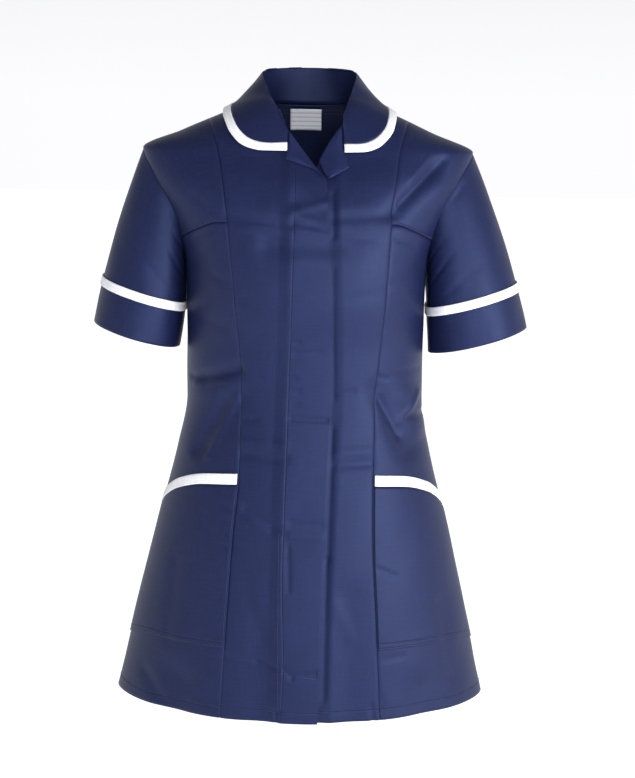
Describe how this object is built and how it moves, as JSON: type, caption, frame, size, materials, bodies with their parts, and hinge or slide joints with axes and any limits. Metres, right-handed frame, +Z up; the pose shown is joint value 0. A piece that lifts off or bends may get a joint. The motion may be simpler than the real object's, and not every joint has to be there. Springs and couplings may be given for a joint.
{
  "type": "work tunic",
  "caption": "Short-sleeved A-line work tunic with a rounded collar, a concealed front fastening, low patch pockets and contrast bindings, in its worn shape and empty.",
  "frame": {"origin": "middle of the neck, level with the inner ends of the shoulder seams, where the wearer's shoulders carry the garment", "axes": "+X towards the wearer's left, +Y towards the back, +Z up; the front faces -Y"},
  "size_m": [0.54, 0.266, 0.7901],
  "materials": {
    "navy_cloth": "woven twill with a slight sheen",
    "navy_cloth_inside": "the cloth's inner face, a little duller",
    "white_binding": "folded woven binding, matt",
    "white_label": "smooth woven label",
    "navy_tape": "dense woven tape"
  },
  "bodies": {
    "root": {"back": "navy_cloth", "collar": "navy_cloth", "collar_binding": "white_binding", "cuff_left": "navy_cloth", "cuff_right": "navy_cloth", "cuff_tape_left": "white_binding", "cuff_tape_right": "white_binding", "front_centre_left": "navy_cloth", "front_centre_right": "navy_cloth", "front_zip": "navy_tape", "neck_label": "white_label", "pocket_binding_left": "white_binding", "pocket_binding_right": "white_binding", "pocket_left": "navy_cloth", "pocket_right": "navy_cloth", "rever_left": "navy_cloth_inside", "rever_right": "navy_cloth_inside", "side_front_lower_left": "navy_cloth", "side_front_lower_right": "navy_cloth", "side_front_upper_left": "navy_cloth", "side_front_upper_right": "navy_cloth", "sleeve_left": "navy_cloth", "sleeve_right": "navy_cloth"}
  },
  "joints": []
}
